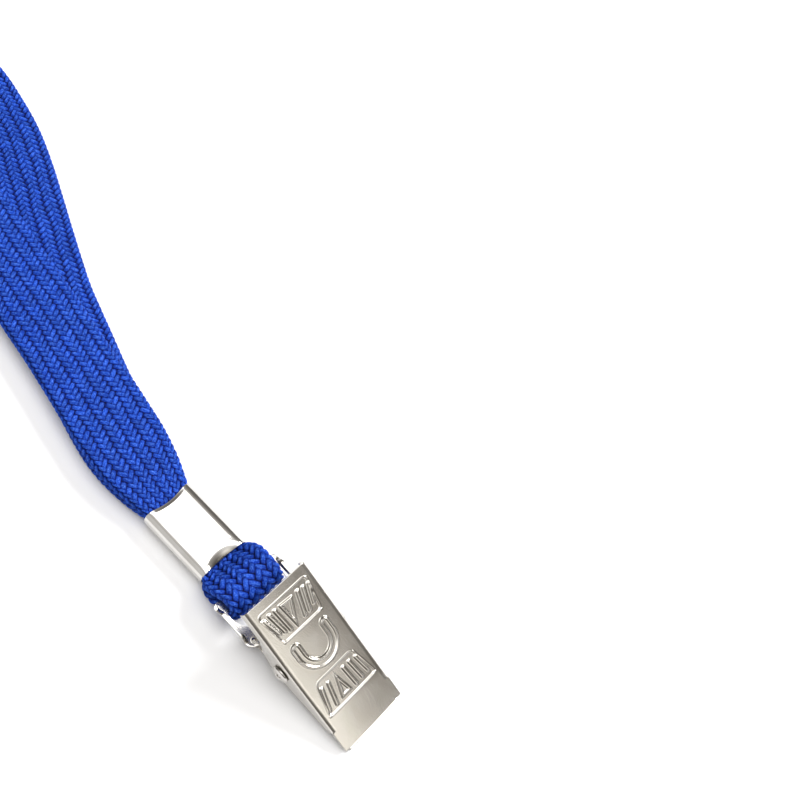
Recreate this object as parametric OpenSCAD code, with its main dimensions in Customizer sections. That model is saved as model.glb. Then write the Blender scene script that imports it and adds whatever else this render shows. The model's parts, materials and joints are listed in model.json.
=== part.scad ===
// Lanyard badge holder: a flat braided neck strap, a folded crimp sleeve and a sprung two-lever clip.
// Millimetres. X runs along the lanyard towards the jaw tip, Z is up, and the part lies on z = 0.
// The origin is below the middle of the crimp and the clip together.

/* [Strap] */
// Width of the braid where it lies free
strap_w = 15; // [13:0.5:16]
// Thickness of the braid where it lies free
strap_t = 2.2; // [1.8:0.1:2.2]
// Width of the braid in the end loop
loop_w = 10.8; // [9.6:0.2:11.2]
// Thickness of the braid in the end loop
loop_t = 2; // [1.6:0.1:2.2]
// Inside radius of the end loop round the tail bar
loop_r = 1.5; // [1.4:0.05:1.6]

/* [Crimp sleeve] */
// Outside width of the sleeve
crimp_w = 10.4; // [9.8:0.2:11.6]
// Length of the sleeve
crimp_len = 14.8; // [12:0.2:18]
// Outside height of the sleeve
crimp_h = 4.4; // [4.2:0.1:5]
// Wall of the sleeve
crimp_wall = 0.5; // [0.3:0.1:0.6]
// Outside radius of the sleeve's folded edges
crimp_r = 1.5; // [1.2:0.1:1.8]

/* [Clip] */
// Thickness of the sheet that both levers are pressed from
sheet_t = 0.6; // [0.5:0.05:0.6]
// Length of the lower lever
lower_len = 33; // [31:0.5:35]
// Width of the lower lever's tail
tail_w = 14.2; // [13.8:0.1:15]
// Length of the upper lever's plate
upper_len = 29; // [28.5:0.1:29.5]
// Width of the upper lever
upper_w = 13.5; // [13.3:0.1:13.6]
// Angle between the two levers when the jaw is shut
lever_angle = 19.3; // [19:0.1:20]

/* [Pivot and spring] */
// Radius of the pivot pin
pin_r = 1; // [0.8:0.05:1.05]
// Radius of the pin's peened heads
head_r = 1.75; // [1.5:0.05:1.9]
// Diameter of the spring wire
wire_d = 0.9; // [0.6:0.1:0.9]
// Number of turns in the spring's coil
coil_turns = 5; // [3:1:6]

/* [Hidden] */
$fn = 48;
eps = 0.01;

// The tail bar, in the clip's own frame: u along the lower lever from its tail, h above its underside
bar_u = 2.5;
slot_far_u = 7.7;
slot_w = 12;
bar_mid = [bar_u / 2, sheet_t / 2];
loop_out_r = loop_r + loop_t;

// The clip slopes down from the loop, which lies on the table, to the jaw tip, which touches it
tip_run = lower_len - bar_mid[0];
pitch = asin(loop_out_r / norm([tip_run, bar_mid[1]])) - atan(bar_mid[1] / tip_run);
bar_from_crimp = 6.1;
tip_reach = tip_run * cos(pitch) + bar_mid[1] * sin(pitch);
crimp_x = -(crimp_len + bar_from_crimp + tip_reach) / 2;
bar_x = crimp_x + crimp_len + bar_from_crimp;

// The pivot, in the clip's own frame
pin_u = 16;
pin_h = 3.7;
pin_clear = 0.05;
side_gap = 0.2;

// The upper lever's plate: its own frame has s along the plate from the tail and z = 0 on its top
jaw_gap = 0.18;
tip_u = lower_len - 0.3;
tip_h = sheet_t + jaw_gap + sheet_t * cos(lever_angle);
tail_u = tip_u - upper_len * cos(lever_angle);
tail_h = tip_h + upper_len * sin(lever_angle);
pin_s = (pin_u - tail_u) * cos(lever_angle) - (pin_h - tail_h) * sin(lever_angle);
pin_d = (tail_h - pin_h) * cos(lever_angle) - (pin_u - tail_u) * sin(lever_angle);

lower_w = upper_w - 2 * (sheet_t + side_gap);
ear_r = 2.2;
tail_flange_h = 1.7;

coil_r = 1.85;
coil_len = coil_turns * (wire_d + 0.05);

// The strap's layers in the crimp
layer_t = crimp_h / 2 - crimp_wall;
layer_w = crimp_w - 2 * crimp_wall;
top_z = crimp_h / 2 + layer_t / 2;
under_z = crimp_h / 2 - layer_t / 2;

// Distance from the crimp over which the braid opens out to its free size
opens_over = 16;

// Routes of the neck strap's two legs: middle of the braid at each point, from the crimp to the hank.
// The top leg lies on the under leg until the two have spread apart.
top_route = [[crimp_x, 0, top_z], [-29, 0.2, 3.2], [-33, 0.8, 3.5], [-40, 1.8, 3.6], [-50, 3.8, 3.6],
    [-62, 5.9, 3.6], [-76, 8.2, 3.5], [-90, 10.4, 3.5], [-102, 12.4, 3.4], [-114, 14.4, 2.6], [-128, 16.4, 2.4],
    [-142, 17.8, 4.6], [-156, 18, 8], [-168, 18, 10.4]];
under_route = [[crimp_x, 0, under_z], [-29, 0.2, 1.2], [-33, 0.8, 1.1], [-40, 1.8, 1.1], [-50, 4, 1.1],
    [-60, 7.4, 1.1], [-71, 11.2, 1.1], [-84, 16.8, 1.1], [-98, 23.5, 1.1], [-112, 29.2, 1.1], [-126, 32.5, 1.1],
    [-140, 32.5, 1.1], [-154, 30, 1.3], [-168, 26, 1.9]];

// The hank that the rest of the neck strap is folded into
hank_near_x = -168;
hank_run = 155;
hank_y = 22;
hank_spread = 8;
hank_w = strap_w + hank_spread;
hank_h = 11.2;
tie_t = 0.8;
tie_w = 6;

// Puts what is drawn in the clip's own frame in its place
module in_clip() {
    translate([bar_x, 0, loop_out_r]) rotate([0, pitch, 0])
        translate([-bar_mid[0], 0, -bar_mid[1]]) children();
}

// Puts what is drawn in the upper lever's frame in its place
module in_upper() {
    in_clip() translate([tail_u, 0, tail_h]) rotate([0, lever_angle, 0]) children();
}

// Extrudes an outline drawn in X and Z from y = from to y = to
module across(from, to) {
    translate([0, to, 0]) rotate([90, 0, 0]) linear_extrude(to - from) children();
}

// Extrudes an outline in X and Z as a wall on each side: outer face at y = outer
module side_walls(outer, wall) {
    across(outer - wall, outer) children();
    across(-outer, wall - outer) children();
}

// Extrudes an outline in Y and Z along the crimp, centred on its middle
module along_x(length) {
    translate([crimp_x, 0, crimp_h / 2]) rotate([90, 0, 90]) linear_extrude(length) children();
}

// A rectangle with round corners, centred on the origin
module rounded(width, height, r) {
    square([width - 2 * r, height], center = true);
    square([width, height - 2 * r], center = true);
    for (x = [-1, 1], y = [-1, 1]) translate([x * (width / 2 - r), y * (height / 2 - r)]) circle(r = r);
}

// A slot shape with round ends, from the origin along X
module stadium(length, width) {
    translate([width / 2, 0]) circle(d = width);
    translate([length - width / 2, 0]) circle(d = width);
    translate([width / 2, -width / 2]) square([length - width, width]);
}

// Points of a smooth step from a to b, for edges that swing from one depth to another
function swing(a, b, steps = 8) = [for (i = [0:steps])
    let (k = i / steps) [a[0] + (b[0] - a[0]) * k, a[1] + (b[1] - a[1]) * (1 - cos(180 * k)) / 2]];

// Points of an arc
function arc(mid, r, from, to, steps = 10) = [for (i = [0:steps])
    let (a = from + (to - from) * i / steps) mid + r * [cos(a), sin(a)]];

// ---- Strap ----

// A ring of a flat tube: eight points round p, flat across the direction that it runs in
function flat_ring(p, along, w, t) =
    let (side = [-along[1], along[0], 0] / norm([along[0], along[1]]), up = cross(along, side) / norm(along),
        flat = 0.86)
    [for (c = [[1, 1], [flat, 2], [-flat, 2], [-1, 1], [-1, -1], [-flat, -2], [flat, -2], [1, -1]])
        p + side * c[0] * w / 2 + up * c[1] * t / 4];

// How far the braid has opened out from its crimped size, 0 to 1
function opened(p) = let (k = min(1, (crimp_x - p[0]) / opens_over)) k * (2 - k);

module flat_tube(route) {
    last = len(route) - 1;
    rings = [for (i = [0:last])
        let (along = i == 0 ? [-1, 0, 0] : route[min(i + 1, last)] - route[i - 1], k = opened(route[i]))
        flat_ring(route[i], along, layer_w + (strap_w - layer_w) * k, layer_t + (strap_t - layer_t) * k)];
    sides = len(rings[0]);
    polyhedron(
        points = [for (ring = rings) each ring],
        faces = [
            [for (j = [0:sides - 1]) j],
            for (i = [0:last - 1], j = [0:sides - 1])
                let (a = i * sides + j, b = i * sides + (j + 1) % sides) [a, a + sides, b + sides, b],
            [for (j = [sides - 1:-1:0]) last * sides + j]
        ]);
}

module strap_leg_top() {
    color("royalblue") flat_tube(top_route);
}

module strap_leg_under() {
    color("royalblue") flat_tube(under_route);
}

// The braid's two layers through the crimp, and the loop round the tail bar
module end_loop() {
    neck = crimp_x + crimp_len;
    middle = [bar_x, loop_out_r];
    meet = 125;
    outer_at = meet - 10;
    parting = [neck + 0.5, crimp_h / 2];
    color("mediumblue") across(-loop_w / 2, loop_w / 2) difference() {
        polygon(concat(
            swing([neck, crimp_h / 2 + layer_t], middle + loop_out_r * [cos(outer_at), sin(outer_at)], 6),
            arc(middle, loop_out_r, outer_at - 8, 8 - outer_at, 26),
            swing(middle + loop_out_r * [cos(outer_at), -sin(outer_at)], [neck, crimp_h / 2 - layer_t], 6)));
        polygon(concat(
            [parting],
            arc(middle, loop_r, meet, -meet, 20)));
    }
    color("mediumblue") along_x(crimp_len) rounded(layer_w, 2 * layer_t, crimp_r - crimp_wall);
}

module strap_hank() {
    color("royalblue") translate([hank_near_x - hank_run, hank_y - hank_w / 2, tie_t])
        translate([0, hank_w, 0]) rotate([90, 0, 0]) linear_extrude(hank_w)
            translate([0, hank_h / 2]) stadium(hank_run, hank_h);
}

module hank_tie() {
    color("dimgray") translate([hank_near_x - hank_run / 2 - tie_w / 2, hank_y, 0]) difference() {
        translate([0, -hank_w / 2 - tie_t, 0]) cube([tie_w, hank_w + 2 * tie_t, hank_h + 2 * tie_t]);
        translate([-eps, -hank_w / 2, tie_t]) cube([tie_w + 2 * eps, hank_w, hank_h]);
    }
}

// ---- Crimp ----

module crimp_sleeve() {
    color("silver") along_x(crimp_len) difference() {
        rounded(crimp_w, crimp_h, crimp_r);
        rounded(crimp_w - 2 * crimp_wall, crimp_h - 2 * crimp_wall, crimp_r - crimp_wall);
    }
}

// ---- Clip ----

// The hole for the pivot pin, right across either lever
module pin_hole() {
    rotate([90, 0, 0]) cylinder(r = pin_r + pin_clear, h = 2 * upper_w, center = true);
}

// Plan of the lower lever: a wide tail round the strap slot, then a channel between the upper's flanges
module lower_plan() {
    waist = [8.6, 10.6];
    corner = 0.8;
    half_tail = tail_w / 2;
    half = lower_w / 2;
    side = concat(
        arc([corner, half_tail - corner], corner, 180, 90, 6),
        swing([waist[0], half_tail], [waist[1], half]),
        [[lower_len, half]]);
    difference() {
        polygon(concat(side, [for (i = [len(side) - 1:-1:0]) [side[i][0], -side[i][1]]]));
        strap_slot();
    }
}

// The D-shaped slot that the strap passes through, its round corners towards the jaw
module strap_slot() {
    near_r = 0.5;
    far_r = 4;
    near = [bar_u + near_r, slot_w / 2 - near_r];
    far = [slot_far_u - far_r, slot_w / 2 - far_r];
    polygon(concat(
        arc(near, near_r, 180, 90, 4),
        arc(far, far_r, 90, 0),
        arc([far[0], -far[1]], far_r, 0, -90),
        arc([near[0], -near[1]], near_r, -90, -180, 4)));
}

// Side outline of one of the lower lever's inner ears
module lower_ear() {
    foot = [11.6, 21.5];
    shoulder = 35;
    polygon(concat(
        [[foot[1], 0], [foot[1], sheet_t]],
        arc([pin_u, pin_h], ear_r, shoulder, 180 - shoulder, 12),
        [[foot[0], sheet_t], [foot[0], 0]]));
}

// Side outline of the low flange beside the slot
module tail_flange() {
    from = 0.8;
    to = 8.6;
    polygon(concat([[from, 0]], swing([from, sheet_t], [from + 1.6, tail_flange_h], 5),
        swing([to - 1.8, tail_flange_h], [to, sheet_t], 5), [[to, 0]]));
}

// A rib pressed across the bend beside the waist
module waist_rib(y, from, length) {
    r = 0.5;
    translate([from, y, sheet_t]) rotate([0, 90, 0]) cylinder(r = r, h = length);
    for (end = [0, length]) translate([from + end, y, sheet_t]) sphere(r = r);
}

module lower_lever() {
    lip = 0.12;
    color("lightgray") in_clip() {
        difference() {
            union() {
                linear_extrude(sheet_t) lower_plan();
                side_walls(lower_w / 2, sheet_t) lower_ear();
            }
            translate([pin_u, 0, pin_h]) pin_hole();
        }
        side_walls(tail_w / 2, sheet_t) tail_flange();
        for (y = [-5.2, -4.1, 4.1, 5.2]) waist_rib(y, 9, 2.2);
        translate([lower_len - 1.2, -lower_w / 2 + 1, 0]) cube([1.2, lower_w - 2, sheet_t + lip]);
    }
}

// Side outline of the upper lever's flange: shallow at the tail, deep at the pivot, tapering to the tip
module upper_flange() {
    shallow = 2;
    ear_bottom = pin_d + 2.6;
    flange_end = 25.2;
    front = [flange_end, (upper_len - flange_end) * sin(lever_angle) + 0.9];
    polygon(concat(
        [[0, 0], [0, -shallow]],
        swing([4.6, -shallow], [pin_s - 2.6, -ear_bottom + 0.7], 10),
        [[pin_s - 1.6, -ear_bottom], [pin_s + 1.8, -ear_bottom + 0.1]],
        [[front[0], -front[1]], [flange_end, 0]]));
}

// A flat bar with round ends from a to b, on the plate's top
module bar(a, b, width) {
    run = b - a;
    translate(a) rotate(atan2(run[1], run[0])) translate([-width / 2, 0]) stadium(norm(run) + width, width);
}

// A panel of upright ribs under a border line; wide and narrow are its half widths at s = from and s = to
module rib_panel(from, to, wide, narrow) {
    inset = 0.9;
    line_w = 0.3;
    rib_w = 0.5;
    bar([from, -wide], [from, wide], line_w);
    bar([to, -narrow], [to, narrow], line_w);
    for (k = [-0.8, -0.5, 0.5, 0.8]) bar([from + inset, k * wide], [to - inset, k * narrow], rib_w);
    bar([from + inset, 0], [to - inset, 0], 2 * rib_w);
}

// The open horseshoe bead that gives the thumb its grip, its arms towards the tail
module thumb_grip() {
    r = 2.9;
    bead_w = 0.9;
    mid = [12.3, 0];
    arm = 2.4;
    difference() {
        translate(mid) circle(r = r + bead_w / 2);
        translate(mid) circle(r = r - bead_w / 2);
        translate(mid - [2 * r, 2 * r]) square([2 * r, 4 * r]);
    }
    for (y = [-r, r]) bar(mid + [-arm, y], mid + [0, y], bead_w);
}

module upper_lever() {
    half = upper_w / 2;
    emboss = 0.2;
    color("gainsboro") in_upper() {
        difference() {
            union() {
                translate([0, -half, -sheet_t]) cube([upper_len, upper_w, sheet_t]);
                side_walls(half, sheet_t) upper_flange();
            }
            translate([pin_s, 0, -pin_d]) pin_hole();
        }
        translate([0, 0, -sheet_t / 2]) linear_extrude(sheet_t / 2 + emboss) {
            rib_panel(2.4, 7.8, 5.3, 4.4);
            thumb_grip();
            rib_panel(17, 22.4, 4.4, 5.3);
        }
    }
}

module pivot_pin() {
    head_gap = 0.06;
    head_t = 0.7;
    hollow_r = 0.55;
    head_y = upper_w / 2 + head_gap;
    color("darkgray") in_clip() translate([pin_u, 0, pin_h]) rotate([90, 0, 0]) difference() {
        union() {
            cylinder(r = pin_r, h = 2 * head_y + 2 * eps, center = true);
            for (side = [0, 180]) rotate([side, 0, 0]) translate([0, 0, head_y]) {
                cylinder(r = head_r, h = head_t / 2);
                translate([0, 0, head_t / 2]) cylinder(r1 = head_r, r2 = pin_r, h = head_t / 2);
            }
        }
        for (side = [0, 180]) rotate([side, 0, 0]) translate([0, 0, head_y])
            cylinder(r = hollow_r, h = head_t + eps);
    }
}

// ---- Spring ----

// A ring of six points round p for a wire that runs in the direction along
function wire_ring(p, along, sides = 6) =
    let (d = along / norm(along), a = abs(d[1]) < 0.9 ? [0, 1, 0] : [1, 0, 0],
        side = cross(d, a) / norm(cross(d, a)), up = cross(side, d))
    [for (j = [0:sides - 1]) p + wire_d / 2 * (cos(360 * j / sides) * side + sin(360 * j / sides) * up)];

module wire(path, sides = 6) {
    last = len(path) - 1;
    rings = [for (i = [0:last]) wire_ring(path[i], path[min(i + 1, last)] - path[max(i - 1, 0)])];
    polyhedron(
        points = [for (ring = rings) each ring],
        faces = [
            [for (j = [sides - 1:-1:0]) j],
            for (i = [0:last - 1], j = [0:sides - 1])
                let (a = i * sides + j, b = i * sides + (j + 1) % sides) [a, b, b + sides, a + sides],
            [for (j = [0:sides - 1]) last * sides + j]
        ]);
}

// The coil lies round the pin; one leg bears on the lower lever's tail, the other under the upper's
module torsion_spring() {
    steps = 18;
    count = steps * coil_turns - steps / 2;
    sweep = 360 * coil_turns - 180;
    bend_u = pin_u - 2;
    low_leg = [9, sheet_t + wire_d / 2 + 0.05];
    high_leg_u = 8.6;
    under_plate = tail_h - (high_leg_u - tail_u) * tan(lever_angle) - sheet_t / cos(lever_angle);
    high_leg = [high_leg_u, under_plate - wire_d / 2 - 0.25];
    turns = [for (i = [0:count]) let (k = i / count, a = k * sweep - 90)
        [pin_u + coil_r * cos(a), coil_len * (k - 0.5), pin_h + coil_r * sin(a)]];
    color("slategray") in_clip() wire(concat(
        [[low_leg[0], -coil_len / 2, low_leg[1]], [bend_u, -coil_len / 2, pin_h - coil_r - 0.2]],
        turns,
        [[bend_u, coil_len / 2, pin_h + coil_r + 0.3], [high_leg[0], coil_len / 2, high_leg[1]]]));
}

crimp_sleeve();
end_loop();
strap_leg_top();
strap_leg_under();
strap_hank();
hank_tie();
lower_lever();
upper_lever();
pivot_pin();
torsion_spring();
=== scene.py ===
"""The looks of the lanyard badge holder: braid, crimp, pressed clip, pin, spring and hank tie.

Lengths are in millimetres in the model's frame, and make_object() turns them into metres.
"""

import json
import math

import bmesh
import bpy
import numpy as np
from mathutils import Matrix, Vector


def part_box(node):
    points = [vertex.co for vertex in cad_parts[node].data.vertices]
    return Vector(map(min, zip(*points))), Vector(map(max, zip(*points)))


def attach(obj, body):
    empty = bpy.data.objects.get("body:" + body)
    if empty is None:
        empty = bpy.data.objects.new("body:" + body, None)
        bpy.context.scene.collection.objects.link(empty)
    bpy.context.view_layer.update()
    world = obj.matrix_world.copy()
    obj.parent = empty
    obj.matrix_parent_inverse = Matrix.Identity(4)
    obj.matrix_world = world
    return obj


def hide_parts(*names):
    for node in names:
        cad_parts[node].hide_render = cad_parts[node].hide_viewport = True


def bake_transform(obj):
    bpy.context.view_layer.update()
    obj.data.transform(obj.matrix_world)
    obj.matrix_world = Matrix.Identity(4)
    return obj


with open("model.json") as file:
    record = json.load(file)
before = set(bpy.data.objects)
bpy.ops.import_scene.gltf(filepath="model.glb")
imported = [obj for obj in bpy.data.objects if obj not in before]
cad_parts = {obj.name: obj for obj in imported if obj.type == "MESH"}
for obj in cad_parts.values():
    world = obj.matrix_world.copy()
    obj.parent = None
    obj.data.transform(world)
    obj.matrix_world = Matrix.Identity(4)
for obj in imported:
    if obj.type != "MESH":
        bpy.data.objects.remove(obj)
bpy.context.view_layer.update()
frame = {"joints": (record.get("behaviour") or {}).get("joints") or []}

MM = 0.001

# ---- Places and sizes that come from the frame ----

joint_at = {joint["name"]: np.array(joint["pos_m"]) / MM for joint in frame["joints"]}
bar_at = joint_at["clip_swing"]
pin_at = joint_at["jaw_pivot"]


def box_mm(node):
    """A node's lowest and highest corners."""
    low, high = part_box(node)
    return np.array(low) / MM, np.array(high) / MM


crimp_low, crimp_high = box_mm("crimp_sleeve")
CRIMP_W = crimp_high[1] - crimp_low[1]
CRIMP_H = crimp_high[2] - crimp_low[2]
hank_low, hank_high = box_mm("strap_hank")
tie_low, tie_high = box_mm("hank_tie")

# ---- Sizes of the design, as in the part's source ----

CRIMP_WALL = 0.5
CRIMP_R = 2
STRAP_W = 15
STRAP_T = 2.2
LAYER_W = CRIMP_W - 2 * CRIMP_WALL
LAYER_T = CRIMP_H / 2 - CRIMP_WALL
TOP_LAYER = CRIMP_H / 2 + LAYER_T / 2
UNDER_LAYER = CRIMP_H / 2 - LAYER_T / 2
OPENS_OVER = 16
BAR_LOOP_R = 1.5
LOOP_W = 11.7
LOOP_T = 2

SHEET_T = 0.6
BAR_IN_CLIP = (1.25, 0.3)
PIN_IN_CLIP = (16, 3.7)
LEVER_ANGLE = math.radians(19.3)
LOWER_LEN = 33
TAIL_W = 14.2
LOWER_W = 11.9
UPPER_LEN = 29
UPPER_W = 13.5
JAW_GAP = 0.18
JAW_SETBACK = 0.3

PIN_R = 1
HEAD_R = 1.75
WIRE_D = 0.9
COIL_TURNS = 5
COIL_R = 1.85
COIL_LEN = COIL_TURNS * (WIRE_D + 0.05)

# How a stitch of the braid is made, in geometry and in its material
LATTICE = 6            # rows of points in a stitch, so that the edges of the yarns lie on them
FLOAT_START = 0.15     # a yarn comes up fairly high at the start of its float, and dives at the end

# Routes of the two legs of the neck strap, from the crimp to the hank: the middle of the braid
TOP_ROUTE = [(crimp_low[0], 0, TOP_LAYER), (-29, 0.2, 3.2), (-33, 0.8, 3.5), (-40, 1.8, 3.6), (-50, 3.8, 3.6),
             (-62, 5.9, 3.6), (-76, 8.2, 3.5), (-90, 10.4, 3.5), (-102, 12.4, 3.4), (-114, 14.4, 2.6),
             (-128, 16.4, 2.4), (-142, 17.8, 4.6), (-156, 18, 8), (-168, 18, 10.4)]
UNDER_ROUTE = [(crimp_low[0], 0, UNDER_LAYER), (-29, 0.2, 1.2), (-33, 0.8, 1.1), (-40, 1.8, 1.1),
               (-50, 4, 1.1), (-60, 7.4, 1.1), (-71, 11.2, 1.1), (-84, 16.8, 1.1), (-98, 23.5, 1.1),
               (-112, 29.2, 1.1), (-126, 32.5, 1.1), (-140, 32.5, 1.1), (-154, 30, 1.3), (-168, 26, 1.9)]

# The clip's own frame has u along the lower lever from its tail and h above its underside
reach_u = PIN_IN_CLIP[0] - BAR_IN_CLIP[0]
reach_h = PIN_IN_CLIP[1] - BAR_IN_CLIP[1]
PITCH = math.atan2(reach_h, reach_u) - math.atan2(pin_at[2] - bar_at[2], pin_at[0] - bar_at[0])
CLIP_FRAME = (Matrix.Translation(Vector(bar_at)) @ Matrix.Rotation(PITCH, 4, "Y")
              @ Matrix.Translation((-BAR_IN_CLIP[0], 0, -BAR_IN_CLIP[1])))

# The upper lever's frame has s along its plate from the tail and z = 0 on its top
TIP_U = LOWER_LEN - JAW_SETBACK
TIP_H = SHEET_T + JAW_GAP + SHEET_T * math.cos(LEVER_ANGLE)
TAIL_U = TIP_U - UPPER_LEN * math.cos(LEVER_ANGLE)
TAIL_H = TIP_H + UPPER_LEN * math.sin(LEVER_ANGLE)
UPPER_FRAME = CLIP_FRAME @ Matrix.Translation((TAIL_U, 0, TAIL_H)) @ Matrix.Rotation(LEVER_ANGLE, 4, "Y")
pin_du = PIN_IN_CLIP[0] - TAIL_U
pin_dh = PIN_IN_CLIP[1] - TAIL_H
PIN_S = pin_du * math.cos(LEVER_ANGLE) - pin_dh * math.sin(LEVER_ANGLE)
PIN_D = -pin_dh * math.cos(LEVER_ANGLE) - pin_du * math.sin(LEVER_ANGLE)


# ---- Shapes and lines of points ----

def smooth(x):
    """A smooth step from 0 to 1."""
    x = np.clip(x, 0, 1)
    return x * x * (3 - 2 * x)


def swing(s, a, b, low, high):
    """Moves smoothly from low at s = a to high at s = b."""
    return low + (high - low) * (1 - np.cos(math.pi * np.clip((s - a) / (b - a), 0, 1))) / 2


def unit(vectors):
    """The vectors, each scaled to a length of 1."""
    return vectors / np.linalg.norm(vectors, axis=-1, keepdims=True)


def placed(points, matrix):
    """An array of points, moved by a matrix."""
    m = np.array(matrix)
    return points @ m[:3, :3].T + m[:3, 3]


def along_line(line):
    """The distance along a line to each of its points."""
    return np.concatenate([[0], np.cumsum(np.linalg.norm(np.diff(line, axis=0), axis=1))])


def resampled(line, step):
    """Points about step apart along a line of points."""
    line = np.array(line, float)
    along = along_line(line)
    wanted = np.linspace(0, along[-1], max(2, round(along[-1] / step) + 1))
    return np.column_stack([np.interp(wanted, along, line[:, k]) for k in range(line.shape[1])])


def eased(line, spread):
    """The line with its corners eased: each point is averaged with about spread neighbours to a side."""
    reach = 3 * spread
    weights = np.exp(-0.5 * (np.arange(-reach, reach + 1) / spread) ** 2)
    weights /= weights.sum()
    before = 2 * line[0] - line[reach:0:-1]
    after = 2 * line[-1] - line[-2:-reach - 2:-1]
    padded = np.vstack([before, line, after])
    return np.column_stack([np.convolve(padded[:, k], weights, "valid") for k in range(line.shape[1])])


def to_segment(s, y, a, b):
    """Distance from each point to the segment a to b, and how far along it the nearest point is, 0 to 1."""
    a, b = np.array(a, float), np.array(b, float)
    run = b - a
    k = np.clip(((s - a[0]) * run[0] + (y - a[1]) * run[1]) / (run @ run), 0, 1)
    return np.hypot(s - a[0] - k * run[0], y - a[1] - k * run[1]), k


def pressed(distance, height, soft):
    """A flat-topped emboss: full height inside an outline, where distance is negative, with a soft edge."""
    return height * (1 - smooth((distance + soft) / (2 * soft)))


def rows_between(length, step, extra=()):
    """Places from 0 to a length, about step apart, with some extra ones."""
    return np.unique(np.concatenate([np.linspace(0, length, round(length / step) + 1), extra]))


# ---- Mesh tools ----

def make_object(name, points, polygons, material, corner_uvs=None, values=None):
    """A smooth-shaded object from points in millimetres and index arrays, one for each size of polygon."""
    mesh = bpy.data.meshes.new(name)
    corners = np.concatenate([p.ravel() for p in polygons])
    sizes = np.concatenate([np.full(len(p), p.shape[1]) for p in polygons])
    mesh.vertices.add(len(points))
    mesh.vertices.foreach_set("co", (points * MM).astype(np.float32).ravel())
    mesh.loops.add(len(corners))
    mesh.loops.foreach_set("vertex_index", corners.astype(np.int32))
    mesh.polygons.add(len(sizes))
    mesh.polygons.foreach_set("loop_start", (np.cumsum(sizes) - sizes).astype(np.int32))
    mesh.polygons.foreach_set("use_smooth", np.ones(len(sizes), bool))
    if corner_uvs is not None:
        mesh.uv_layers.new(name="weave").data.foreach_set("uv", corner_uvs.astype(np.float32).ravel())
    for key, value in (values or {}).items():
        mesh.attributes.new(key, "FLOAT", "POINT").data.foreach_set("value", value.astype(np.float32))
    mesh.update(calc_edges=True)
    mesh.materials.append(material)
    made = bpy.data.objects.new(name, mesh)
    bpy.context.scene.collection.objects.link(made)
    return made


def tidied(made):
    """Merges points that coincide, drops what that leaves loose, and turns every face outwards."""
    work = bmesh.new()
    work.from_mesh(made.data)
    bmesh.ops.remove_doubles(work, verts=work.verts, dist=2e-7)
    bmesh.ops.dissolve_degenerate(work, edges=work.edges, dist=1e-7)
    bmesh.ops.delete(work, geom=[v for v in work.verts if not v.link_faces], context="VERTS")
    bmesh.ops.recalc_face_normals(work, faces=work.faces)
    work.to_mesh(made.data)
    work.free()
    return made


def softened(made, width, segments=2, angle=38):
    """Rounds the edges that are sharper than the angle."""
    bevel = made.modifiers.new("edges", "BEVEL")
    bevel.width = width * MM
    bevel.segments = segments
    bevel.limit_method = "ANGLE"
    bevel.angle_limit = math.radians(angle)
    return made


def slab(name, outer, inner, material, values, keep=None):
    """A closed sheet between two grids of points, with values on both faces.

    There are faces where keep is true, or everywhere, and rims round what is kept.
    """
    rows, columns = outer.shape[:2]
    front = np.arange(rows * columns).reshape(rows, columns)
    back = front + rows * columns
    if keep is None:
        keep = np.ones((rows - 1, columns - 1), bool)
    ring = [(slice(0, -1), slice(0, -1)), (slice(0, -1), slice(1, None)),
            (slice(1, None), slice(1, None)), (slice(1, None), slice(0, -1))]
    faces = [np.stack([front[corner][keep] for corner in ring], 1),
             np.stack([back[corner][keep] for corner in reversed(ring)], 1)]
    framed = np.pad(keep, 1)
    before, after = framed[1:-1, :-1], framed[1:-1, 1:]
    for here, flip in ((after & ~before, False), (before & ~after, True)):
        r, c = np.nonzero(here)
        rim = np.stack([front[r, c], front[r + 1, c], back[r + 1, c], back[r, c]], 1)
        faces.append(rim[:, ::-1] if flip else rim)
    above, below = framed[:-1, 1:-1], framed[1:, 1:-1]
    for here, flip in ((below & ~above, True), (above & ~below, False)):
        r, c = np.nonzero(here)
        rim = np.stack([front[r, c], front[r, c + 1], back[r, c + 1], back[r, c]], 1)
        faces.append(rim[:, ::-1] if flip else rim)
    points = np.concatenate([outer.reshape(-1, 3), inner.reshape(-1, 3)])
    values = {key: np.tile(value.ravel(), 2) for key, value in values.items()}
    return tidied(make_object(name, points, faces, material, values=values))


def ring_quads(grid):
    """Faces between closed rings of points, whose indices are the rows of the grid."""
    across = np.roll(grid, -1, axis=1)
    return np.stack([grid[:-1], across[:-1], across[1:], grid[1:]], 2).reshape(-1, 4)


def tube(name, line, radius, material, sides=14):
    """A round wire along a line of points, with domed ends."""
    dome_rings = 4
    dome_start = 0.15
    line = np.array(line)
    tangents = unit(np.gradient(line, axis=0))
    side = np.cross(tangents[0], (0, 1, 0.1))
    dome = [(math.sin(a), math.cos(a)) for a in np.linspace(dome_start, math.pi / 2, dome_rings)]
    turn = np.linspace(0, 2 * math.pi, sides, endpoint=False)
    rings = []
    for i, (point, tangent) in enumerate(zip(line, tangents)):
        side = unit(side - tangent * (side @ tangent))
        circle = np.outer(np.cos(turn), side) + np.outer(np.sin(turn), np.cross(tangent, side))
        ends = [(1, 0)]
        if i == 0:
            ends = [(size, -out) for size, out in dome]
        elif i == len(line) - 1:
            ends = [(size, out) for size, out in reversed(dome)]
        for size, out in ends:
            rings.append(point + tangent * out * radius + radius * size * circle)
    points = np.concatenate(rings)
    grid = np.arange(len(points)).reshape(len(rings), sides)
    return tidied(make_object(name, points, [ring_quads(grid), grid[:1, ::-1], grid[-1:]], material))


# ---- Material tools ----

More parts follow.
